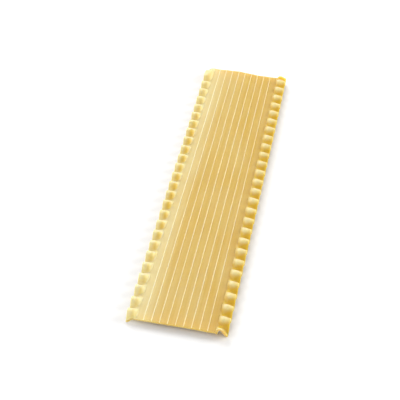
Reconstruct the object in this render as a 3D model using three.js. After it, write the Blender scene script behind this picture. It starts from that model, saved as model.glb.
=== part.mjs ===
// A sheet of dry lasagna, lying flat: a thin panel with fine ribs down its length on both faces, and a
// ruffled edge down each long side. Both ends are cut off square, through the ruffles as they come.
//
// Millimetres, +Z up. The origin is under the middle of the sheet, on the surface it lies on. +Y runs
// along the sheet to its far end, and +X runs across it.

import * as THREE from 'three';

// Driving dimensions.

const LENGTH = 250; // from cut to cut
const THICKNESS = 1.0; // of the dough between its ribs

const RIB_COUNT = 9;
const RIB_PITCH = 4.37;
const RIB_WIDTH = 0.8;
const RIB_HEIGHT = 0.3; // proud of each face
const RIB_CROWN = 0.35; // share of the rib's width that is its rounded top

const WAVE_LENGTH = 9.36; // of a ruffle, crest to crest along the edge
const WAVE_HEIGHT = 3.3; // of a crest over the panel, at mid thickness
const WAVE_FULLNESS = 0.09; // how far crests and troughs are broader than a sine's
const WAVE_SKEW = 0.09; // how far a crest runs back, for each step across
const CREST_POWER = 2.0; // how early a crest rises, between the flat margin and its top
const CREST_FALL = 0.2; // share of its height that a crest loses towards the rim
const CREST_BEND = 2.6; // how far forward a crest bends where it has no height, against its top
const TROUGH_SHARE = 0.88; // of the wave height: a trough's depth under the panel
const TROUGH_START = 1.5; // how far outside the flat margin the troughs begin
const TROUGH_WIDTH = 4.8; // across which they deepen
const FLAT_SPOT = 0.08; // taken off under the troughs, where the sheet rests

// Each long side: the flat margin outside the last rib, the ruffle's width, the width of a crest's rise
// and of the soft bend at its foot, and how far the first crest is from the near cut. The last wave can
// run long, by a share of a wave, so that the far corner turns down, and the near corner can sag.
const LEFT_EDGE = {
  outward: -1,
  margin: 3.6,
  ruffle: 5.95,
  rise: 3.3,
  foot: 1.7,
  firstCrest: 3.8,
  lag: 0.8,
  sag: 0,
};
const RIGHT_EDGE = {
  outward: 1,
  margin: 4.3,
  ruffle: 6.59,
  rise: 2.8,
  foot: 0.6,
  firstCrest: -0.2,
  lag: 0,
  sag: 2.8,
};
const LAG_LENGTH = 14; // of the stretch before the far cut in which the last wave runs long
const SAG = { start: 2.0, width: 4.2, length: 6 }; // how far in a sagging corner begins

// Unevenness of extruded, air-dried dough. Each swell has an amount, and the length of its longer wave.
const HEIGHT_SWELL = { amount: 0.05, length: 61 }; // of the ruffle's height, as a share of it
const CREST_SWELL = { amount: 0.2, length: 97 }; // of the crests' places along the edge
const WARP_SWELL = { amount: 0.25, length: 171 }; // of the panel's height
const WARP_SKEW = 1.4; // how far the warp's swells run across the sheet, for each step along it
const NEAR_CUT_SWELL = { amount: 0.1, length: 23 }; // of the cut's line
const FAR_CUT_SWELL = { amount: 0.35, length: 23 };
const SHORT_WAVE = { share: 0.35, length: 0.39, phase: 2.3 }; // of every swell, set against its longer wave
const FAR_LIFT = { height: 0.8, centre: -8, halfWidth: 9, length: 30 }; // a bulge before the far cut
const SIDEWAYS_BOW = 0.3; // of the whole sheet, over its length

// Facets.
const ROWS_PER_WAVE = 8;
const RUFFLE_STRIPS = 5;
const RUFFLE_STRIP_POWER = 1.3; // gathers the strips at the steep rise
const PANEL_ROWS = 10;
const UPRIGHT_LENGTH = 1.2; // next to a cut, over which the dough's offset turns upright
const SLOPE_STEP = 0.02; // for slopes taken as differences

const HALF_LENGTH = LENGTH / 2;
const REST_LEVEL = FLAT_SPOT - TROUGH_SHARE * WAVE_HEIGHT - THICKNESS / 2;
const RIBBED_WIDTH = (RIB_COUNT - 1) * RIB_PITCH;
const LEFT_WIDTH = LEFT_EDGE.ruffle + LEFT_EDGE.margin;
const RIGHT_WIDTH = RIGHT_EDGE.ruffle + RIGHT_EDGE.margin;
const WIDTH = LEFT_WIDTH + RIBBED_WIDTH + RIGHT_WIDTH;
const FIRST_RIB = LEFT_WIDTH - WIDTH / 2;
const LAST_RIB = FIRST_RIB + RIBBED_WIDTH;
const LEFT = { ...LEFT_EDGE, start: FIRST_RIB - LEFT_EDGE.margin };
const RIGHT = { ...RIGHT_EDGE, start: LAST_RIB + RIGHT_EDGE.margin };

function smoothstep(value) {
  const t = THREE.MathUtils.clamp(value, 0, 1);
  return t * t * (3 - 2 * t);
}

// A slow swell between -amount and amount, from a long sine and a short one.
function swell(along, { amount, length }, phase) {
  const turn = (2 * Math.PI * along) / length;
  const long = Math.sin(turn + phase);
  const short = Math.sin(turn / SHORT_WAVE.length + SHORT_WAVE.phase * phase);
  return amount * ((1 - SHORT_WAVE.share) * long + SHORT_WAVE.share * short);
}

// Height of a crest across a ruffle, as a share of the wave height.
function crestProfile(side, distance) {
  const rest = 1 - THREE.MathUtils.clamp(distance / side.rise, 0, 1);
  const rise = (1 - rest ** CREST_POWER) * smoothstep(distance / side.foot);
  return rise * (1 - CREST_FALL * (distance / side.ruffle) ** 2);
}

// The ruffle's wave between -1 and 1, at a place along the edge and across it.
function edgeWave(side, distance, along) {
  const bend = CREST_BEND * (1 - CREST_FALL - crestProfile(side, distance));
  const skew = WAVE_SKEW * side.outward * (distance - side.ruffle / 2);
  const wander = swell(along, CREST_SWELL, 1 + side.outward);
  const late = side.lag * smoothstep((along - LENGTH + LAG_LENGTH) / LAG_LENGTH);
  const angle = 2 * Math.PI * ((along - side.firstCrest - bend + skew + wander) / WAVE_LENGTH - late);
  return (1 + WAVE_FULLNESS) * Math.cos(angle) - WAVE_FULLNESS * Math.cos(3 * angle);
}

// Height of one side's ruffle over the panel, between its trough and its crest at that distance.
function ruffle(side, x, along) {
  const distance = side.outward * (x - side.start);
  if (distance <= 0) return 0;
  const uneven = 1 + swell(along, HEIGHT_SWELL, 2 - side.outward);
  const crest = WAVE_HEIGHT * uneven * crestProfile(side, distance);
  const trough = WAVE_HEIGHT * TROUGH_SHARE * smoothstep((distance - TROUGH_START) / TROUGH_WIDTH);
  const wave = edgeWave(side, distance, along);
  const sag = side.sag * smoothstep((distance - SAG.start) / SAG.width) * smoothstep(1 - along / SAG.length);
  return (crest - trough) / 2 + ((crest + trough) / 2) * wave - sag;
}

// Height of the sheet's middle surface. Only differences count, because the sheet is set down at the end.
function middle(x, along) {
  const warp = swell(along + WARP_SKEW * x, WARP_SWELL, 0.8) * Math.cos((Math.PI * x) / WIDTH);
  const across = Math.exp(-(((x - FAR_LIFT.centre) / FAR_LIFT.halfWidth) ** 2));
  const lift = FAR_LIFT.height * across * smoothstep((along - LENGTH) / FAR_LIFT.length + 1);
  return warp + lift + ruffle(LEFT, x, along) + ruffle(RIGHT, x, along);
}

// The unit normal of the middle surface, by central differences.
function normal(x, along) {
  const slopeX = (middle(x + SLOPE_STEP, along) - middle(x - SLOPE_STEP, along)) / (2 * SLOPE_STEP);
  const slopeY = (middle(x, along + SLOPE_STEP) - middle(x, along - SLOPE_STEP)) / (2 * SLOPE_STEP);
  return new THREE.Vector3(-slopeX, -slopeY, 1).normalize();
}

// A point on the top (face 1) or the underside (face -1). The dough is offset square to the middle
// surface, except at the cuts, where it is offset straight up and down so that each cut stands upright.
// No point lies under the level on which the sheet rests.
function surfacePoint(column, along, face) {
  const { x, rib } = column;
  const y = along - HALF_LENGTH;
  const n = normal(x, along);
  const inward = smoothstep((HALF_LENGTH - Math.abs(y)) / UPRIGHT_LENGTH);
  const depth = face * (THICKNESS / 2 + rib);
  const bow = SIDEWAYS_BOW * (1 - (y / HALF_LENGTH) ** 2);
  const cut = (1 - inward) * swell(x, y < 0 ? NEAR_CUT_SWELL : FAR_CUT_SWELL, 1 + Math.sign(y));
  const height = middle(x, along) + depth * (n.z * inward + (1 - inward) / n.z);
  return new THREE.Vector3(
    x + bow + depth * n.x,
    y + cut + depth * n.y * inward,
    Math.max(height, REST_LEVEL),
  );
}

// Places along a ruffled edge: the two cuts, and between them every crest, trough and slope.
function ruffleRows(side) {
  const step = WAVE_LENGTH / ROWS_PER_WAVE;
  const rows = [0];
  for (let along = side.firstCrest % step; along < LENGTH - step / 3; along += step) {
    if (along > step / 3) rows.push(along);
  }
  rows.push(LENGTH);
  return rows;
}

function panelRows() {
  return Array.from({ length: PANEL_ROWS + 1 }, (_, row) => (LENGTH * row) / PANEL_ROWS);
}

// The columns of points that run down the sheet, from its left edge to its right.
function sheetColumns() {
  const ruffleColumns = (side) => {
    const rows = ruffleRows(side);
    return Array.from({ length: RUFFLE_STRIPS + 1 }, (_, strip) => {
      const distance = side.ruffle * (strip / RUFFLE_STRIPS) ** RUFFLE_STRIP_POWER;
      return { x: side.start + side.outward * distance, rib: 0, rows };
    });
  };
  const ribColumns = [];
  for (let count = 0; count < RIB_COUNT; count += 1) {
    const centre = FIRST_RIB + count * RIB_PITCH;
    const crown = (RIB_CROWN * RIB_WIDTH) / 2;
    ribColumns.push({ x: centre - RIB_WIDTH / 2, rib: 0, rows: panelRows() });
    ribColumns.push({ x: centre - crown, rib: RIB_HEIGHT, rows: panelRows() });
    ribColumns.push({ x: centre + crown, rib: RIB_HEIGHT, rows: panelRows() });
    ribColumns.push({ x: centre + RIB_WIDTH / 2, rib: 0, rows: panelRows() });
  }
  return [...ruffleColumns(LEFT).reverse(), ...ribColumns, ...ruffleColumns(RIGHT)];
}

// The closed sheet: both faces split into the same triangles, and a wall round the rim.
function sheetGeometry() {
  const positions = [];
  const indices = [];
  const addPoint = (point) => positions.push(point.x, point.y, point.z) / 3 - 1;
  const addQuad = (a, b, c, d) => indices.push(a, b, c, a, c, d);

  const columns = sheetColumns();
  for (const column of columns) {
    column.top = column.rows.map((along) => addPoint(surfacePoint(column, along, 1)));
    column.under = column.rows.map((along) => addPoint(surfacePoint(column, along, -1)));
  }

  // One strip between two columns. Each triangle takes the next point of whichever column lags.
  const addStrip = (left, right) => {
    let i = 0;
    let j = 0;
    while (i < left.rows.length - 1 || j < right.rows.length - 1) {
      const nextLeft = left.rows[i + 1] ?? Infinity;
      const nextRight = right.rows[j + 1] ?? Infinity;
      const takeLeft = nextLeft <= nextRight;
      const third = takeLeft ? 'left' : 'right';
      const tops = { left: left.top[i + 1], right: right.top[j + 1] };
      const unders = { left: left.under[i + 1], right: right.under[j + 1] };
      indices.push(left.top[i], right.top[j], tops[third]);
      indices.push(left.under[i], unders[third], right.under[j]);
      if (takeLeft) i += 1;
      else j += 1;
    }
    const [leftEnd, rightEnd] = [left.rows.length - 1, right.rows.length - 1];
    addQuad(left.under[0], right.under[0], right.top[0], left.top[0]);
    addQuad(right.under[rightEnd], left.under[leftEnd], left.top[leftEnd], right.top[rightEnd]);
  };
  for (let count = 1; count < columns.length; count += 1) addStrip(columns[count - 1], columns[count]);

  const first = columns[0];
  const last = columns[columns.length - 1];
  for (let row = 1; row < first.rows.length; row += 1) {
    addQuad(first.under[row], first.under[row - 1], first.top[row - 1], first.top[row]);
  }
  for (let row = 1; row < last.rows.length; row += 1) {
    addQuad(last.under[row - 1], last.under[row], last.top[row], last.top[row - 1]);
  }

  const geometry = new THREE.BufferGeometry();
  geometry.setAttribute('position', new THREE.Float32BufferAttribute(positions, 3));
  geometry.setIndex(indices);
  geometry.computeVertexNormals();
  return geometry;
}

// Sets the sheet down: its lowest point at z = 0, and the middle of its outline over the origin.
function setDown(geometry) {
  geometry.computeBoundingBox();
  const { min, max } = geometry.boundingBox;
  geometry.translate(-(min.x + max.x) / 2, -(min.y + max.y) / 2, -min.z);
  return geometry;
}

const driedDough = new THREE.MeshStandardMaterial({ color: '#e6c583', roughness: 0.45, metalness: 0 });

const sheet = new THREE.Mesh(setDown(sheetGeometry()), driedDough);
sheet.name = 'lasagna_sheet';

const part = new THREE.Group();
part.add(sheet);

export default part;
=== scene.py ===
"""Looks of a ruffled sheet of dry lasagna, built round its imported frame.

Every size is in metres, in the frame's own axes: +Y runs along the sheet to its far cut, +X across it
and +Z up. The sheet lies on its ruffles at z = 0.
"""

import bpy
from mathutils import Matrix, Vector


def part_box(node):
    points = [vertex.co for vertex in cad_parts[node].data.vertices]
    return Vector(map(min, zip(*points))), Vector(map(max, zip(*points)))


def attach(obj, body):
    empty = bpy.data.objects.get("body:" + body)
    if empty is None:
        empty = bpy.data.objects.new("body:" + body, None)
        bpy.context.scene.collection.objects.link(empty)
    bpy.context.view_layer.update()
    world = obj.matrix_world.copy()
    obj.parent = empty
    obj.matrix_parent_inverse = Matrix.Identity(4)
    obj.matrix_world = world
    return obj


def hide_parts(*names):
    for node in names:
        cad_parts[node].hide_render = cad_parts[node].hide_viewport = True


bl_info = {
    "name": "Dry lasagna sheet",
    "version": (1, 0, 0),
    "blender": (4, 5, 0),
    "location": "View3D > Sidebar > Lasagna",
    "description": "Builds one ruffled, ribbed sheet of dried dough on a pale studio floor",
    "category": "Add Mesh",
}

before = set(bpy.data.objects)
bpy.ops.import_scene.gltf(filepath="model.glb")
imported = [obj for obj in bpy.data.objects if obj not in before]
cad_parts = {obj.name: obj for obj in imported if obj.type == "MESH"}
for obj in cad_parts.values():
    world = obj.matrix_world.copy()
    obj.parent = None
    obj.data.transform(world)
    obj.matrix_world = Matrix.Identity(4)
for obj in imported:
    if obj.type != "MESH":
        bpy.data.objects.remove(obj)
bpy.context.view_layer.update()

import math
from collections import namedtuple

import bpy
import numpy as np
from bpy.props import FloatProperty, FloatVectorProperty, IntProperty, PointerProperty
from mathutils import Matrix, Vector

NODE = "lasagna_sheet"
BODY = "root"
MM = 0.001

# A long side of the sheet:
#   outward      which way is outward, along X
#   margin       width of the flat margin outside the last rib
#   ruffle       width of the ruffle
#   first_crest  how far the first crest is from the near cut
#   lag          how late the last wave comes, as a share of a wave
#   sag          how far the near corner sags
#   rise         distance over which a crest rises out of the margin
#   foot         distance over which the foot of that rise is rounded
#   gold_from    share of the wave height at which the painted shade, a deeper gold, sets in
#   gold_to      share at which it is full
#   gold_lead    how far on along the sheet that height is taken, as a share of a wave
#   gold_tilt    what is added to that height at the rim
#   gold_ends    how much of the painted shade is lost towards both cuts
Side = namedtuple(
    "Side",
    "outward margin ruffle first_crest lag sag rise foot gold_from gold_to gold_lead gold_tilt gold_ends",
)
LEFT = Side(
    outward=-1, margin=3.6 * MM, ruffle=5.95 * MM, first_crest=3.8 * MM, lag=0.8, sag=0.0,
    rise=3.3 * MM, foot=1.7 * MM,
    gold_from=0.05, gold_to=0.55, gold_lead=0.2, gold_tilt=-1.0, gold_ends=0.6,
)
RIGHT = Side(
    outward=1, margin=4.3 * MM, ruffle=6.59 * MM, first_crest=-0.2 * MM, lag=0.0, sag=2.8 * MM,
    rise=2.8 * MM, foot=0.6 * MM,
    gold_from=0.7, gold_to=-0.2, gold_lead=0.0, gold_tilt=-0.5, gold_ends=0.0,
)
SIDES = (LEFT, RIGHT)
LAG_LENGTH = 14 * MM
SAG_START = 2.0 * MM
SAG_WIDTH = 4.2 * MM
SAG_LENGTH = 6 * MM

# A ruffle's crests rise steeply out of the flat margin, fall a little towards the rim and bend forward
# where they are lower. Its troughs start farther out and deepen evenly.
WAVE_FULLNESS = 0.09
WAVE_SKEW = 0.09
CREST_POWER = 2.0
CREST_FALL = 0.2
CREST_BEND = 2.6 * MM
TROUGH_SHARE = 0.88
TROUGH_START = 1.5 * MM
TROUGH_WIDTH = 4.8 * MM
FLAT_SPOT = 0.08 * MM

# Where the painted light and shade change: the width over which the painted shade (the gold) starts
# outside the margin, how far from the middle and over what stretch it thins towards the cuts, as shares
# of half the length, the slope at which the left crests' inner faces, which the key light misses, get the
# most painted light, and the width of the rims' painted highlight.
GOLD_FOOT = 1.2 * MM
GOLD_THIN_START = 0.3
GOLD_THIN_STRETCH = 0.5
INNER_SLOPE = 1.2
RIM_HIGHLIGHT_WIDTH = 0.9 * MM

# Unevenness of extruded, air-dried dough. Each swell has an amount and the length of its longer wave.
Swell = namedtuple("Swell", "amount length")
HEIGHT_SWELL = Swell(0.05, 61 * MM)
CREST_SWELL = Swell(0.2 * MM, 97 * MM)
WARP_SWELL = Swell(0.25 * MM, 171 * MM)
WARP_SKEW = 1.4
NEAR_CUT_SWELL = Swell(0.1 * MM, 23 * MM)
FAR_CUT_SWELL = Swell(0.35 * MM, 23 * MM)
SHORT_SHARE = 0.35
SHORT_LENGTH = 0.39
SHORT_PHASE = 2.3
FAR_LIFT = 0.8 * MM
FAR_LIFT_CENTRE = -8 * MM
FAR_LIFT_HALF_WIDTH = 9 * MM
FAR_LIFT_LENGTH = 30 * MM
SIDEWAYS_BOW = 0.3 * MM

# The grid of the fine surface, whose columns run along the sheet, and how rims and cuts are rounded. A
# rib's columns reach to both sides by RIB_REACH of its width.
SLOPE_STEP = 0.02 * MM
UPRIGHT_LENGTH = 1.2 * MM
RIB_COLUMNS = 7
RIB_REACH = 0.75
RUFFLE_COLUMNS = 15
RUFFLE_GATHER = 1.25
MARGIN_COLUMNS = 3
ROW_SPACING = 0.54 * MM
RIM_RADIUS = 0.35 * MM
RIM_WALL = 0.3
CUT_RADIUS = 0.14 * MM
CUT_WALL = 0.76
ROUND_STEPS = (1.0, 0.55, 0.25, 0.07, 0.0)
SHARP_ANGLE = math.radians(50)


def smoothstep(value):
    """Rises from 0 to 1 as value does, flat at both ends: t squared times (3 - 2t)."""
    t = np.clip(value, 0, 1)
    return t * t * (3 - 2 * t)


def swell(along, kind, phase):
    """A slow wander between minus and plus the swell's amount: a long sine plus a shorter one."""
    turn = 2 * np.pi * along / kind.length
    short = np.sin(turn / SHORT_LENGTH + SHORT_PHASE * phase)
    return kind.amount * ((1 - SHORT_SHARE) * np.sin(turn + phase) + SHORT_SHARE * short)


def sheet_width(sizes):
    """Width over both ruffles: margins, ruffles and the ribbed panel between them."""
    return sum(side.margin + side.ruffle for side in SIDES) + (sizes.rib_count - 1) * sizes.rib_pitch


def first_rib(sizes):
    """Place of the leftmost rib across the sheet."""
    return LEFT.margin + LEFT.ruffle - sheet_width(sizes) / 2


def ruffle_start(side, sizes):
    """Place across the sheet at which a side's ruffle leaves the flat margin."""
    ribs = (sizes.rib_count - 1) * sizes.rib_pitch if side.outward > 0 else 0
    return first_rib(sizes) + ribs + side.outward * side.margin


def ruffle_share(side, x, along, sizes):
    """Height of a ruffle over the panel as a share of the wave height.

    Along the edge it goes between crest and trough as a cosine does, with some of its third harmonic
    taken off, which broadens both. Across the edge, the crests' height is one minus a power of the
    distance left to the top, falling a little outwards, and the troughs' depth is a smooth step.
    """
    distance = side.outward * (x - ruffle_start(side, sizes))
    left = 1 - np.clip(distance / side.rise, 0, 1)
    crest = (1 - left**CREST_POWER) * smoothstep(distance / side.foot)
    crest = crest * (1 - CREST_FALL * (distance / side.ruffle) ** 2)
    bend = CREST_BEND * (1 - CREST_FALL - crest)
    crest = crest * (1 + swell(along, HEIGHT_SWELL, 2 - side.outward))
    trough = TROUGH_SHARE * smoothstep((distance - TROUGH_START) / TROUGH_WIDTH)
    wander = swell(along, CREST_SWELL, 1 + side.outward)
    skew = WAVE_SKEW * side.outward * (distance - side.ruffle / 2)
    late = side.lag * smoothstep((along - sizes.length) / LAG_LENGTH + 1)
    angle = 2 * np.pi * ((along - side.first_crest - bend + wander + skew) / sizes.wave_length - late)
    wave = (1 + WAVE_FULLNESS) * np.cos(angle) - WAVE_FULLNESS * np.cos(3 * angle)
    sag = smoothstep((distance - SAG_START) / SAG_WIDTH) * smoothstep(1 - along / SAG_LENGTH)
    return (crest - trough) / 2 + (crest + trough) / 2 * wave - side.sag / sizes.wave_height * sag


def painted_shade_share(side, x, along, sizes):
    """How much painted shade, a deeper gold, a place on a ruffle gets: 0 on the margin and on the crests'
    lit parts, up to 1.

    It is a smooth step of the ruffle's height, which is taken a share of a wave farther along and is
    lowered towards the rim. On the right it goes on the low places, which are the shaded pockets between
    the crests. On the left it lies on the crests' near faces, which face away from the key light, and
    thins towards both cuts.
    """
    distance = side.outward * (x - ruffle_start(side, sizes))
    height = ruffle_share(side, x, along + side.gold_lead * sizes.wave_length, sizes)
    height = height + side.gold_tilt * np.clip(distance / side.ruffle, 0, 1)
    gold = smoothstep((height - side.gold_from) / (side.gold_to - side.gold_from))
    ends = smoothstep((np.abs(2 * along / sizes.length - 1) - GOLD_THIN_START) / GOLD_THIN_STRETCH)
    return gold * smoothstep(distance / GOLD_FOOT) * (1 - side.gold_ends * ends)


def painted_sheen_share(x, along, sizes):
    """Where the panel gets painted sheen, standing in for the back-left softbox's reflection: towards the
    near left, and over the bulge before the far cut.

    Each is a smooth step along the sheet, times a straight fall across it or the bulge's bell curve.
    """
    lengthwise = 2 * along / sizes.length - 1
    near = smoothstep(-lengthwise) * (0.5 - x / sheet_width(sizes))
    far = smoothstep(lengthwise) * np.exp(-(((x - FAR_LIFT_CENTRE) / FAR_LIFT_HALF_WIDTH) ** 2))
    return near + far


def middle_height(x, along, sizes):
    """Height of the sheet's middle surface: a shallow warp, a bulge at the far end and both ruffles."""
    warp = swell(along + WARP_SKEW * x, WARP_SWELL, 0.8) * np.cos(np.pi * x / sheet_width(sizes))
    across = np.exp(-(((x - FAR_LIFT_CENTRE) / FAR_LIFT_HALF_WIDTH) ** 2))
    lift = FAR_LIFT * across * smoothstep((along - sizes.length) / FAR_LIFT_LENGTH + 1)
    waves = sum(ruffle_share(side, x, along, sizes) for side in SIDES)
    return warp + lift + sizes.wave_height * waves


def rib_share(x, sizes):
    """Height of the ribs as a share of the full height: a squared cosine over each rib's width."""
    along_pitch = (x - first_rib(sizes)) / sizes.rib_pitch
    nearest = np.clip(np.round(along_pitch), 0, sizes.rib_count - 1)
    offset = np.abs(along_pitch - nearest) * sizes.rib_pitch / sizes.rib_width
    return np.cos(np.pi * np.clip(offset, 0, 0.5)) ** 2


def rounding(distance, radius, wall):
    """Share of the thickness left near an edge: a quarter circle down to the wall that stays."""
    t = 1 - np.clip(distance / radius, 0, 1)
    return wall + (1 - wall) * np.sqrt(1 - t * t)


def sheet_columns(sizes):
    """Places across the sheet: gathered at the ruffles' shoulders, at each rib and at the rims."""
    ribs = first_rib(sizes) + np.arange(sizes.rib_count) * sizes.rib_pitch
    places = [(ribs[:, None] + sizes.rib_width * np.linspace(-RIB_REACH, RIB_REACH, RIB_COLUMNS)).ravel()]
    rim = RIM_RADIUS * np.array(ROUND_STEPS)
    for side in SIDES:
        start = ruffle_start(side, sizes)
        across = np.linspace(0, 1, RUFFLE_COLUMNS) ** RUFFLE_GATHER * (side.ruffle - RIM_RADIUS)
        places.append(start + side.outward * np.concatenate([across, side.ruffle - rim[1:]]))
        margin = np.linspace(0, side.margin, MARGIN_COLUMNS + 1)[1:-1]
        places.append(start - side.outward * margin)
    return np.sort(np.concatenate(places))


def sheet_rows(sizes):
    """Places along the sheet: even, and gathered where the cuts' edges are rounded."""
    count = round(sizes.length / ROW_SPACING)
    cut = CUT_RADIUS * np.array(ROUND_STEPS[1:])
    even = np.linspace(0, sizes.length, count + 1)[1:-1]
    return np.sort(np.concatenate([cut, even, sizes.length - cut]))


def sheet_faces(sizes):
    """Points of the top and the underside on one grid, and the masks for the dough's finish and its painted
    light.

    Each face is the middle surface moved by half the thickness, and by the ribs, along its normal.
    Next to a cut the move turns upright, so that the cut stands upright. The troughs are flattened
    underneath at the level on which the sheet rests.
    """
    x, along = np.meshgrid(sheet_columns(sizes), sheet_rows(sizes))
    step = SLOPE_STEP
    slope_x = (middle_height(x + step, along, sizes) - middle_height(x - step, along, sizes)) / (2 * step)
    slope_y = (middle_height(x, along + step, sizes) - middle_height(x, along - step, sizes)) / (2 * step)
    normal_z = 1 / np.sqrt(1 + slope_x**2 + slope_y**2)
    half_width = sheet_width(sizes) / 2
    y = along - sizes.length / 2
    to_cut = np.minimum(along, sizes.length - along)
    inward = smoothstep(to_cut / UPRIGHT_LENGTH)
    bow = SIDEWAYS_BOW * (1 - (2 * y / sizes.length) ** 2)
    cut_line = np.where(y < 0, swell(x, NEAR_CUT_SWELL, 0), swell(x, FAR_CUT_SWELL, 2)) * (1 - inward)
    ribs = rib_share(x, sizes)
    depth = sizes.thickness / 2 * rounding(half_width - np.abs(x), RIM_RADIUS, RIM_WALL)
    depth = (depth + sizes.rib_height * ribs) * rounding(to_cut, CUT_RADIUS, CUT_WALL)
    middle = middle_height(x, along, sizes)
    rest_level = FLAT_SPOT - TROUGH_SHARE * sizes.wave_height - sizes.thickness / 2
    faces = []
    for face in (1, -1):
        offset = face * depth
        height = middle + offset * (normal_z * inward + (1 - inward) / normal_z)
        faces.append(np.stack([
            x + bow - offset * slope_x * normal_z,
            y + cut_line - offset * slope_y * normal_z * inward,
            np.maximum(height, rest_level),
        ], axis=-1))
    waves = sum(ruffle_share(side, x, along, sizes) for side in SIDES)
    # Masks for the finish. The rib mask (widened by its square root), the rim mask and the crest heights
    # place painted highlights. The pale-patch mask places painted sheen. The inner mask places painted light
    # on the left crests' shaded inner faces. The gold mask places painted shade.
    masks = {
        "rib": np.sqrt(ribs),
        "crest": waves,
        "gold": sum(painted_shade_share(side, x, along, sizes) for side in SIDES),
        "rim": 1 - smoothstep((half_width - np.abs(x)) / RIM_HIGHLIGHT_WIDTH),
        "across": (x + half_width) / (2 * half_width),
        "painted_sheen": painted_sheen_share(x, along, sizes),
        "inner": smoothstep(-slope_x / INNER_SLOPE) * (x < 0),
    }
    return faces, masks


def grid_quads(rows, columns, offset):
    """Corner indices of the squares of one grid, counter-clockwise from above."""
    index = np.arange(rows * columns).reshape(rows, columns) + offset
    corners = (index[:-1, :-1], index[:-1, 1:], index[1:, 1:], index[1:, :-1])
    return np.stack(corners, axis=-1).reshape(-1, 4)


def rim_quads(rows, columns):
    """The wall that joins the rims of the top and the underside, faces outwards."""
    index = np.arange(rows * columns).reshape(rows, columns)
    loop = np.concatenate([index[0, :-1], index[:-1, -1], index[-1, :0:-1], index[:0:-1, 0]])
    following = np.roll(loop, -1)
    under = rows * columns
    return np.stack([loop, loop + under, following + under, following], axis=-1)


def mesh_from_arrays(name, points, quads, masks):
    """A mesh from arrays of points and squares, with one float attribute for each mask."""
    mesh = bpy.data.meshes.new(name)
    mesh.from_pydata(points, [], quads)
    mesh.shade_smooth()
    for mask, values in masks.items():
        layer = mesh.attributes.new(mask, "FLOAT", "POINT")
        layer.data.foreach_set("value", values.ravel())
    mesh.validate()
    return mesh


def sheet_mesh(name, sizes):
    """The closed sheet, set down where the frame's solid lies."""
    (top, under), masks = sheet_faces(sizes)
    rows, columns = top.shape[:2]
    points = np.concatenate([top.reshape(-1, 3), under.reshape(-1, 3)])
    low, high = (np.array(corner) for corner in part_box(NODE))
    middle = (points.min(0) + points.max(0)) / 2
    points[:, :2] += ((low + high) / 2 - middle)[:2]
    points[:, 2] += low[2] - points[:, 2].min()
    faces = grid_quads(rows, columns, 0), grid_quads(rows, columns, rows * columns)[:, ::-1]
    wall = rim_quads(rows, columns)
    doubled = {mask: np.concatenate([values.ravel()] * 2) for mask, values in masks.items()}
    mesh = mesh_from_arrays(name, points, np.concatenate([*faces, wall]), doubled)
    slots = np.repeat((0, 1), (len(mesh.polygons) - len(wall), len(wall))).astype(np.int32)
    mesh.polygons.foreach_set("material_index", slots)
    mesh.set_sharp_from_angle(angle=SHARP_ANGLE)
    return mesh


# Materials ----------------------------------------------------------------------------------------

# Ranges of a mask or of noise over which a finish changes. The crest range spreads the crests' painted
# highlight, and the left-edge range the left edge's painted sheen.
NOISE_RANGE = (0.3, 0.7)
CREST_RANGE = (-0.1, 0.9)
LEFT_SHEEN_RANGE = (0.08, 0.30)
ACROSS_RANGE = (0.1, 0.9)

# The left ruffle's share of the right one's painted crest and rim highlights, and of its painted shade (the
# gold).
LEFT_CREST_SHARE = 0.2
LEFT_GOLD_SHARE = 0.9

# How much mottling and specks add to the paleness, to the gold, to the roughness and to the relief.
CLOUD_AMOUNT = 0.05
STREAK_AMOUNT = 0.06
CLOUD_ROUGHNESS = 0.02
PALE_SPECK_AMOUNT = 0.22
DARK_SPECK_AMOUNT = 0.30
GRAIN_AMOUNT = 0.35

# Lengths in the dough's patterns are in millimetres. A noise's scale times the size of its lumps is
# SCALE_FOR_SIZE.
SCALE_FOR_SIZE = 0.5
FINE_DETAIL = 3.0

# Specks are the middles of cells, and only some cells have one. Each kind has cells of its own, set off
# from the other's, and a reach from the middle.
Speck = namedtuple("Speck", "shift reach")
PALE_SPECK = Speck(0.0, 0.21)
DARK_SPECK = Speck(37.0, 0.17)
CELLS_TO_A_SPECK = 0.6
CHOSEN_CELLS = (0.55, 1.0)
PINHOLE_DEPTH = 0.6
FACE_SPECK_SIZE = 0.45
CUT_SPECK_SIZE = 0.35
SAND_SIZE = 0.22
SAND_ROUGHNESS = 0.6
CLOUD_SIZE = 9.0
CLOUD_STRETCH = (1, 0.6, 1)
STREAK_STRETCH = (1, 0.03, 1)
STREAK_SIZE = 0.9
CHALK_SIZE = 0.5
CHALK_PALENESS = (0.0, 0.35)
CHALK_ROUGHNESS = (0.55, 0.8)
DOUGH_IOR = 1.5

# Relief that a finish adds to its surface: how strong, and how deep.
Relief = namedtuple("Relief", "strength depth")
FACE_RELIEF = Relief(0.35, 0.05 * MM)
CUT_RELIEF = Relief(0.6, 0.06 * MM)

# The floor's paper.
TOOTH_SIZE = 0.8
TOOTH_SHADE = 0.99
PAPER_ROUGHNESS = 0.9
PAPER_GLOSS = 0.2


def add_node(tree, kind, **values):
    """A node of a kind, with the given inputs (by name) or settings (by attribute)."""
    node = tree.nodes.new(kind)
    for key, value in values.items():
        if key in node.inputs:
            node.inputs[key].default_value = value
        else:
            setattr(node, key, value)
    return node


def math_node(tree, operation, first, second, clamp=False):
    """A Math node on two sockets or numbers. Returns its output."""
    node = tree.nodes.new("ShaderNodeMath")
    node.operation = operation
    node.use_clamp = clamp
    for slot, value in enumerate((first, second)):
        if isinstance(value, (int, float)):
            node.inputs[slot].default_value = value
        else:
            tree.links.new(value, node.inputs[slot])
    return node.outputs[0]


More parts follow.
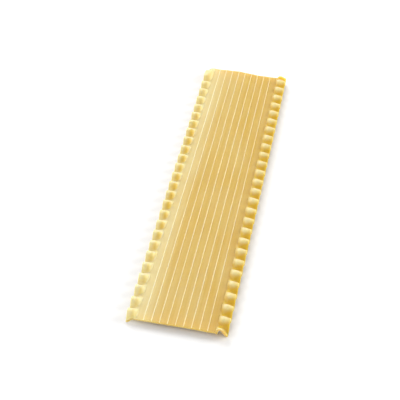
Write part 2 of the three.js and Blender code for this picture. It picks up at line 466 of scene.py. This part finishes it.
def mix_colour(tree, share, first, second):
    """A colour mix by a share. The colours are sockets or colours. Returns its output."""
    node = tree.nodes.new("ShaderNodeMix")
    node.data_type = "RGBA"
    for name, value in (("Factor_Float", share), ("A_Color", first), ("B_Color", second)):
        socket = next(s for s in node.inputs if s.identifier == name)
        if isinstance(value, bpy.types.NodeSocket):
            tree.links.new(value, socket)
        else:
            socket.default_value = value if isinstance(value, float) else (*value, 1.0)
    return next(s for s in node.outputs if s.identifier == "Result_Color")


def map_range(tree, value, low, high, to_low, to_high):
    """A clamped Map Range from low..high to to_low..to_high. Returns its output."""
    node = add_node(tree, "ShaderNodeMapRange", clamp=True)
    for name, number in (("From Min", low), ("From Max", high), ("To Min", to_low), ("To Max", to_high)):
        node.inputs[name].default_value = number
    tree.links.new(value, node.inputs["Value"])
    return node.outputs["Result"]


def new_group(name, inputs, outputs):
    """An empty node group with named float inputs (name: default) and float outputs."""
    group = bpy.data.node_groups.new(name, "ShaderNodeTree")
    for socket, default in inputs.items():
        made = group.interface.new_socket(socket, in_out="INPUT", socket_type="NodeSocketFloat")
        made.default_value = default
    for socket in outputs:
        group.interface.new_socket(socket, in_out="OUTPUT", socket_type="NodeSocketFloat")
    return group, group.nodes.new("NodeGroupInput"), group.nodes.new("NodeGroupOutput")


def scaled_coordinates(tree, scale):
    """Object coordinates, in millimetres, stretched by a scale for each axis. Returns the output."""
    coordinates = tree.nodes.new("ShaderNodeTexCoord")
    mapping = tree.nodes.new("ShaderNodeMapping")
    mapping.inputs["Scale"].default_value = [axis / MM for axis in scale]
    tree.links.new(coordinates.outputs["Object"], mapping.inputs["Vector"])
    return mapping.outputs["Vector"]


def noise(tree, vector, size, detail=2.0, roughness=0.5):
    """Noise between 0 and 1 whose lumps are about size millimetres across. Returns its output."""
    node = tree.nodes.new("ShaderNodeTexNoise")
    node.inputs["Scale"].default_value = SCALE_FOR_SIZE / size
    node.inputs["Detail"].default_value = detail
    node.inputs["Roughness"].default_value = roughness
    tree.links.new(vector, node.inputs["Vector"])
    return node.outputs["Fac"]


def semolina_group():
    """Grain of the dough: pale and dark specks of semolina, pinholes and a fine sandy relief."""
    group, given, result = new_group(
        "Semolina grain",
        {"Speck Size": FACE_SPECK_SIZE, "Amount": 1.0},
        ("Pale Specks", "Dark Specks", "Relief"),
    )
    vector = scaled_coordinates(group, (1, 1, 1))
    specks = []
    for kind in (PALE_SPECK, DARK_SPECK):
        moved = group.nodes.new("ShaderNodeMapping")
        moved.inputs["Location"].default_value = (kind.shift, kind.shift, kind.shift)
        group.links.new(vector, moved.inputs["Vector"])
        cells = group.nodes.new("ShaderNodeTexVoronoi")
        group.links.new(moved.outputs["Vector"], cells.inputs["Vector"])
        scale = math_node(group, "DIVIDE", CELLS_TO_A_SPECK, given.outputs["Speck Size"])
        group.links.new(scale, cells.inputs["Scale"])
        spot = map_range(group, cells.outputs["Distance"], kind.reach, kind.reach / 2, 0.0, 1.0)
        colour = group.nodes.new("ShaderNodeSeparateColor")
        group.links.new(cells.outputs["Color"], colour.inputs["Color"])
        chosen = map_range(group, colour.outputs["Red"], *CHOSEN_CELLS, 0.0, 1.0)
        speck = math_node(group, "MULTIPLY", spot, chosen)
        specks.append(math_node(group, "MULTIPLY", speck, given.outputs["Amount"]))
    sand = noise(group, vector, SAND_SIZE, detail=FINE_DETAIL, roughness=SAND_ROUGHNESS)
    relief = math_node(group, "SUBTRACT", sand, math_node(group, "MULTIPLY", specks[1], PINHOLE_DEPTH))
    group.links.new(specks[0], result.inputs["Pale Specks"])
    group.links.new(specks[1], result.inputs["Dark Specks"])
    group.links.new(math_node(group, "MULTIPLY", relief, given.outputs["Amount"]), result.inputs["Relief"])
    return group


def mottle_group():
    """Mottling of dried dough: soft clouds, and faint streaks drawn out along the sheet."""
    group, given, result = new_group("Drawn mottling", {"Cloud Size": CLOUD_SIZE}, ("Clouds", "Streaks"))
    even = scaled_coordinates(group, CLOUD_STRETCH)
    clouds = group.nodes.new("ShaderNodeTexNoise")
    clouds.inputs["Detail"].default_value = FINE_DETAIL
    group.links.new(even, clouds.inputs["Vector"])
    scale = math_node(group, "DIVIDE", SCALE_FOR_SIZE, given.outputs["Cloud Size"])
    group.links.new(scale, clouds.inputs["Scale"])
    drawn = scaled_coordinates(group, STREAK_STRETCH)
    group.links.new(clouds.outputs["Fac"], result.inputs["Clouds"])
    group.links.new(noise(group, drawn, STREAK_SIZE, detail=FINE_DETAIL), result.inputs["Streaks"])
    return group


def mask_output(tree, name):
    """One of the mesh's masks, read by its name."""
    node = tree.nodes.new("ShaderNodeAttribute")
    node.attribute_name = name
    return node.outputs["Fac"]


def group_node(tree, group, **values):
    """A shared group placed in a material, with its own values."""
    node = tree.nodes.new("ShaderNodeGroup")
    node.node_tree = group
    for name, value in values.items():
        node.inputs[name.replace("_", " ")].default_value = value
    return node


def new_material(name):
    """An empty material with its shader and output. Returns the material, its tree and the shader."""
    material = bpy.data.materials.new(name)
    material.use_nodes = True
    tree = material.node_tree
    return material, tree, tree.nodes["Principled BSDF"]


def set_dough_body(shader, finish):
    """What all dried dough shares: light passes a little way in, and the skin has a faint gloss."""
    shader.inputs["Subsurface Weight"].default_value = 1.0
    shader.inputs["Subsurface Radius"].default_value = finish.glow_radius
    shader.inputs["Subsurface Scale"].default_value = finish.glow_depth
    shader.inputs["IOR"].default_value = DOUGH_IOR


def press_relief(tree, shader, height, relief):
    """A bump from a height, as strong and as deep as the relief says, given to the shader."""
    bump = add_node(tree, "ShaderNodeBump", Strength=relief.strength, Distance=relief.depth)
    tree.links.new(height, bump.inputs["Height"])
    tree.links.new(bump.outputs["Normal"], shader.inputs["Normal"])


def rolled_dough(finish, grain, mottling):
    """Both faces of the sheet: painted highlights on ribs, crests and rims, painted sheen on the left edge
    and on patches of the panel, painted light on the left crests' inner faces, and painted shade (a deeper
    gold) in the ruffles.
    """
    material, tree, shader = new_material("Rolled dough")
    set_dough_body(shader, finish)
    specks = group_node(tree, grain, Speck_Size=FACE_SPECK_SIZE, Amount=1.0)
    mottle = group_node(tree, mottling, Cloud_Size=CLOUD_SIZE)
    across = mask_output(tree, "across")

    def mask(name, amount):
        return math_node(tree, "MULTIPLY", mask_output(tree, name), amount)

    # Painted sheen: the left edge is lifted towards cream where the key softbox's reflection lies.
    left_sheen = map_range(tree, across, *LEFT_SHEEN_RANGE, finish.left_sheen_amount, 0.0)
    # Painted highlights on the crests and on the rims, with less of them on the left.
    crests = map_range(tree, mask_output(tree, "crest"), *CREST_RANGE, 0.0, finish.crest_highlight)
    crest_and_rim_highlights = math_node(tree, "MAXIMUM", crests, mask("rim", finish.rim_highlight))
    to_right = map_range(tree, across, *ACROSS_RANGE, LEFT_CREST_SHARE, 1.0)
    crest_and_rim_highlights = math_node(tree, "MULTIPLY", crest_and_rim_highlights, to_right)
    # Painted highlight along the ribs.
    paleness = math_node(tree, "MAXIMUM", crest_and_rim_highlights, mask("rib", finish.rib_highlight))
    paleness = math_node(tree, "ADD", paleness, left_sheen)
    # Painted light on the left crests' inner faces, which lie in shade.
    paleness = math_node(tree, "ADD", paleness, mask("inner", finish.inner_painted_light))
    # Painted sheen towards the near left and over the far bulge.
    paleness = math_node(tree, "ADD", paleness, mask("painted_sheen", finish.painted_sheen_paleness))
    clouds = map_range(tree, mottle.outputs["Clouds"], *NOISE_RANGE, -CLOUD_AMOUNT, CLOUD_AMOUNT)
    paleness = math_node(tree, "ADD", paleness, clouds)
    streaks = map_range(tree, mottle.outputs["Streaks"], *NOISE_RANGE, -STREAK_AMOUNT, STREAK_AMOUNT)
    paleness = math_node(tree, "ADD", paleness, streaks)
    pale_specks = math_node(tree, "MULTIPLY", specks.outputs["Pale Specks"], PALE_SPECK_AMOUNT)
    paleness = math_node(tree, "ADD", paleness, pale_specks, clamp=True)
    skin = mix_colour(tree, paleness, finish.dough_colour, finish.pale_and_highlight_colour)

    # Painted shade: the ruffles' hollows and the left crests' near faces turn a deeper gold. The dark specks
    # are the dough's own.
    to_right = map_range(tree, across, *ACROSS_RANGE, LEFT_GOLD_SHARE, 1.0)
    gold = math_node(tree, "MULTIPLY", mask("gold", finish.shade_gold_depth), to_right)
    dark = math_node(tree, "MULTIPLY", specks.outputs["Dark Specks"], DARK_SPECK_AMOUNT)
    deep = math_node(tree, "ADD", gold, dark, clamp=True)
    tree.links.new(mix_colour(tree, deep, skin, finish.shade_and_speck_colour), shader.inputs["Base Color"])

    least, most = finish.roughness - CLOUD_ROUGHNESS, finish.roughness + CLOUD_ROUGHNESS
    rough = map_range(tree, mottle.outputs["Clouds"], *NOISE_RANGE, least, most)
    tree.links.new(rough, shader.inputs["Roughness"])

    relief = math_node(tree, "MULTIPLY", specks.outputs["Relief"], GRAIN_AMOUNT)
    relief = math_node(tree, "ADD", relief, mottle.outputs["Streaks"])
    press_relief(tree, shader, relief, FACE_RELIEF)
    return material


def cut_dough(finish, grain):
    """The cuts and the walls of the rims: a little chalky, rougher and sandy."""
    material, tree, shader = new_material("Cut dough")
    set_dough_body(shader, finish)
    specks = group_node(tree, grain, Speck_Size=CUT_SPECK_SIZE, Amount=1.0)
    vector = scaled_coordinates(tree, (1, 1, 1))
    chalk = map_range(tree, noise(tree, vector, CHALK_SIZE), *NOISE_RANGE, *CHALK_PALENESS)
    chalk = math_node(tree, "ADD", chalk, specks.outputs["Pale Specks"], clamp=True)
    colour = mix_colour(tree, chalk, finish.dough_colour, finish.pale_and_highlight_colour)
    tree.links.new(colour, shader.inputs["Base Color"])
    rough = map_range(tree, chalk, 0.0, 1.0, *CHALK_ROUGHNESS)
    tree.links.new(rough, shader.inputs["Roughness"])
    press_relief(tree, shader, specks.outputs["Relief"], CUT_RELIEF)
    return material


def paper_floor(colour):
    """The studio floor: smooth pale paper with a faint tooth."""
    material, tree, shader = new_material("Studio paper")
    vector = scaled_coordinates(tree, (1, 1, 1))
    tooth = map_range(tree, noise(tree, vector, TOOTH_SIZE), *NOISE_RANGE, 0.0, 1.0)
    shade = [TOOTH_SHADE * channel for channel in colour]
    tree.links.new(mix_colour(tree, tooth, shade, colour), shader.inputs["Base Color"])
    shader.inputs["Roughness"].default_value = PAPER_ROUGHNESS
    shader.inputs["Specular IOR Level"].default_value = PAPER_GLOSS
    return material


# Settings -----------------------------------------------------------------------------------------


class LasagnaSizes(bpy.types.PropertyGroup):
    """Sizes of the sheet, as in the frame."""

    length: FloatProperty(name="Length", description="From cut to cut", default=250 * MM, unit="LENGTH")
    thickness: FloatProperty(
        name="Thickness", description="Of the dough between its ribs", default=1.0 * MM, unit="LENGTH"
    )
    rib_count: IntProperty(name="Ribs", description="Number of ribs on each face", default=9, min=2)
    rib_pitch: FloatProperty(
        name="Rib pitch", description="From one rib to the next", default=4.37 * MM, unit="LENGTH"
    )
    rib_width: FloatProperty(
        name="Rib width", description="Of a rib at its foot", default=0.8 * MM, unit="LENGTH"
    )
    rib_height: FloatProperty(
        name="Rib height", description="How proud a rib stands of its face", default=0.3 * MM, unit="LENGTH"
    )
    wave_length: FloatProperty(
        name="Wave length", description="Of a ruffle, from crest to crest", default=9.36 * MM, unit="LENGTH"
    )
    wave_height: FloatProperty(
        name="Wave height", description="Of a crest over the panel", default=3.3 * MM, unit="LENGTH"
    )


class LasagnaFinish(bpy.types.PropertyGroup):
    """Colours and gloss of the dried dough, with the amounts of its painted highlights, sheen, light and
    shade.
    """

    dough_colour: FloatVectorProperty(
        name="Dough", description="Gold of the flat faces", default=(0.635, 0.393, 0.063), subtype="COLOR"
    )
    # The pale colour is the cream of the painted highlights and sheen, and of the pale specks and the chalky
    # cuts.
    pale_and_highlight_colour: FloatVectorProperty(
        name="Pale dough", description="Cream of ribs and crests", default=(0.91, 0.78, 0.47), subtype="COLOR"
    )
    # The deep colour is the gold of the painted shade in the ruffles, and of the dark specks.
    shade_and_speck_colour: FloatVectorProperty(
        name="Deep dough", description="Gold of the ruffles' hollows and of dark specks",
        default=(0.67, 0.445, 0.042), subtype="COLOR"
    )
    # Painted highlights: how far ribs, crests and rims are lifted to cream.
    rib_highlight: FloatProperty(name="Rib paleness", description="How pale ribs are", default=0.65)
    crest_highlight: FloatProperty(name="Crest paleness", description="How pale crests are", default=0.65)
    rim_highlight: FloatProperty(name="Rim paleness", description="How pale rims are", default=0.4)
    # Painted sheen of the left edge.
    left_sheen_amount: FloatProperty(name="Left paleness", description="How pale the left edge is", default=0.55)
    # Painted light on the left crests' shaded inner faces.
    inner_painted_light: FloatProperty(
        name="Inner paleness", description="How much paler the left crests' inner faces are", default=0.2
    )
    # Painted sheen of the panel, towards the near left and over the far bulge.
    painted_sheen_paleness: FloatProperty(
        name="Floury paleness", description="How much paler the floury parts of the panel are", default=0.12
    )
    # Painted shade of the ruffles, as a deeper gold.
    shade_gold_depth: FloatProperty(name="Gold depth", description="How deep the ruffles' gold is", default=1.0)
    roughness: FloatProperty(name="Roughness", description="Of the faces", default=0.42, subtype="FACTOR")
    glow_radius: FloatVectorProperty(
        name="Glow radius", description="How far red, green and blue light pass in, against each other",
        default=(1.0, 0.9, 0.55)
    )
    glow_depth: FloatProperty(
        name="Glow depth", description="How far light passes into the dough", default=3.5 * MM, unit="LENGTH"
    )


class LasagnaStage(bpy.types.PropertyGroup):
    """Camera, lights and floor."""

    camera_place: FloatVectorProperty(
        name="Camera", description="Where the camera stands", default=(0.0670, -0.5706, 0.4624),
        subtype="TRANSLATION"
    )
    camera_aim: FloatVectorProperty(
        name="Aim", description="Point in the middle of the picture", default=(-0.00676, -0.01876, 0.0041),
        subtype="TRANSLATION"
    )
    camera_roll: FloatProperty(
        name="Roll", description="Turn about the line of sight", default=math.radians(4.25), subtype="ANGLE"
    )
    focal_length: FloatProperty(name="Focal length", description="In millimetres", default=108.0)
    key_power: FloatProperty(name="Key", description="Softbox at the back left", default=13.0, unit="POWER")
    side_power: FloatProperty(name="Side", description="Low softbox at the right", default=12.0, unit="POWER")
    fill_power: FloatProperty(name="Fill", description="Softbox at the front left", default=5.5, unit="POWER")
    ambient: FloatProperty(name="Ambient", description="Strength of the white surroundings", default=0.45)
    floor_colour: FloatVectorProperty(
        name="Floor", description="Pale paper", default=(0.95, 0.95, 0.95), subtype="COLOR"
    )


# Operators ----------------------------------------------------------------------------------------


class LASAGNA_OT_sheet(bpy.types.Operator):
    """Build the ruffled sheet of dried dough over its solid"""

    bl_idname = "lasagna.sheet"
    bl_label = "Lasagna sheet"

    def execute(self, context):
        scene = context.scene
        mesh = sheet_mesh("dried_dough_sheet", scene.lasagna_sizes)
        sheet = bpy.data.objects.new("dried_dough_sheet", mesh)
        scene.collection.objects.link(sheet)
        grain = semolina_group()
        mesh.materials.append(rolled_dough(scene.lasagna_finish, grain, mottle_group()))
        mesh.materials.append(cut_dough(scene.lasagna_finish, grain))
        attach(sheet, BODY)
        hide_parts(NODE)
        return {"FINISHED"}


Softbox = namedtuple("Softbox", "name place size")
KEY_SOFTBOX = Softbox("Key softbox", (-0.75, 0.83, 0.75), (1.2, 0.9))
SIDE_SOFTBOX = Softbox("Side softbox", (1.13, 0.35, 0.52), (0.8, 0.8))
FILL_SOFTBOX = Softbox("Fill softbox", (-0.46, -0.80, 0.92), (0.9, 0.9))
FLOOR_REACH = 3.0


def hang_softbox(scene, softbox, power):
    """A rectangular light that faces the middle of the sheet."""
    light = bpy.data.lights.new(softbox.name, "AREA")
    light.shape = "RECTANGLE"
    light.size, light.size_y = softbox.size
    light.energy = power
    lamp = bpy.data.objects.new(softbox.name, light)
    lamp.location = softbox.place
    lamp.rotation_euler = (-Vector(softbox.place)).to_track_quat("-Z", "Y").to_euler()
    scene.collection.objects.link(lamp)


class LASAGNA_OT_stage(bpy.types.Operator):
    """Lay the pale floor, hang the softboxes and set up the camera"""

    bl_idname = "lasagna.stage"
    bl_label = "Studio stage"

    def execute(self, context):
        scene = context.scene
        stage = scene.lasagna_stage
        corners = FLOOR_REACH * np.array([(-1, -1, 0), (1, -1, 0), (1, 1, 0), (-1, 1, 0)])
        paper = mesh_from_arrays("studio_floor", corners, np.array([[0, 1, 2, 3]]), {})
        floor = bpy.data.objects.new("studio_floor", paper)
        paper.materials.append(paper_floor(stage.floor_colour))
        scene.collection.objects.link(floor)

        hang_softbox(scene, KEY_SOFTBOX, stage.key_power)
        hang_softbox(scene, SIDE_SOFTBOX, stage.side_power)
        hang_softbox(scene, FILL_SOFTBOX, stage.fill_power)
        world = bpy.data.worlds.new("White studio")
        world.use_nodes = True
        background = world.node_tree.nodes["Background"]
        background.inputs["Color"].default_value = (1, 1, 1, 1)
        background.inputs["Strength"].default_value = stage.ambient
        scene.world = world
        scene.view_settings.view_transform = "Standard"

        lens = bpy.data.cameras.new("Camera")
        lens.lens = stage.focal_length
        camera = bpy.data.objects.new("Camera", lens)
        place = Vector(stage.camera_place)
        back = place - Vector(stage.camera_aim)
        turn = back.to_track_quat("Z", "Y").to_matrix() @ Matrix.Rotation(stage.camera_roll, 3, "Z")
        camera.matrix_world = Matrix.Translation(place) @ turn.to_4x4()
        scene.collection.objects.link(camera)
        bpy.context.scene.camera = camera
        return {"FINISHED"}


class LASAGNA_PT_sidebar(bpy.types.Panel):
    """Sizes, finish and stage, and a button for each thing that the add-on builds"""

    bl_idname = "LASAGNA_PT_sidebar"
    bl_label = "Dry lasagna sheet"
    bl_space_type = "VIEW_3D"
    bl_region_type = "UI"
    bl_category = "Lasagna"

    def draw(self, context):
        for settings, operator in GROUPS:
            box = self.layout.box()
            group = getattr(context.scene, settings)
            for name in group.__annotations__:
                box.prop(group, name)
            if operator:
                box.operator(operator)


GROUPS = (
    ("lasagna_sizes", None),
    ("lasagna_finish", LASAGNA_OT_sheet.bl_idname),
    ("lasagna_stage", LASAGNA_OT_stage.bl_idname),
)
SETTINGS = {
    "lasagna_sizes": LasagnaSizes,
    "lasagna_finish": LasagnaFinish,
    "lasagna_stage": LasagnaStage,
}
CLASSES = (*SETTINGS.values(), LASAGNA_OT_sheet, LASAGNA_OT_stage, LASAGNA_PT_sidebar)


def register():
    for cls in CLASSES:
        bpy.utils.register_class(cls)
    for name, kind in SETTINGS.items():
        setattr(bpy.types.Scene, name, PointerProperty(type=kind))


def unregister():
    for name in SETTINGS:
        delattr(bpy.types.Scene, name)
    for cls in reversed(CLASSES):
        bpy.utils.unregister_class(cls)


def main():
    register()
    bpy.ops.lasagna.sheet()
    bpy.ops.lasagna.stage()


if __name__ == "__main__":
    main()
